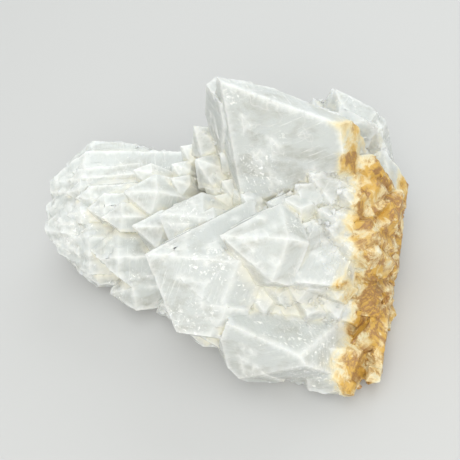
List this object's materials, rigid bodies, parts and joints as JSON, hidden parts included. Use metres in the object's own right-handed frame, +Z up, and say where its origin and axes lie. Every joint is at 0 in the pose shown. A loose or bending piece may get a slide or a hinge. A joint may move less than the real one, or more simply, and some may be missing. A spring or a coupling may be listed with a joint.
{
  "type": "quartz crystal cluster",
  "caption": "Milky candle quartz cluster: stout pointed crystals grown together on an iron stained broken base, lying on its underside.",
  "frame": {"origin": "middle of the cluster's bounding box, at the flat underside that it rests on", "axes": "+X towards the broken, iron stained side and along the longest way across; -X towards the lump of small points; +Z up, the shortest way; the tall point leans towards -X as it rises"},
  "size_m": [0.076, 0.0726, 0.042],
  "materials": {
    "milky_quartz": "milky translucent quartz with glossy crystal faces, amber iron stain on the broken side"
  },
  "bodies": {
    "root": {"quartz_cluster": "milky_quartz"}
  },
  "joints": []
}
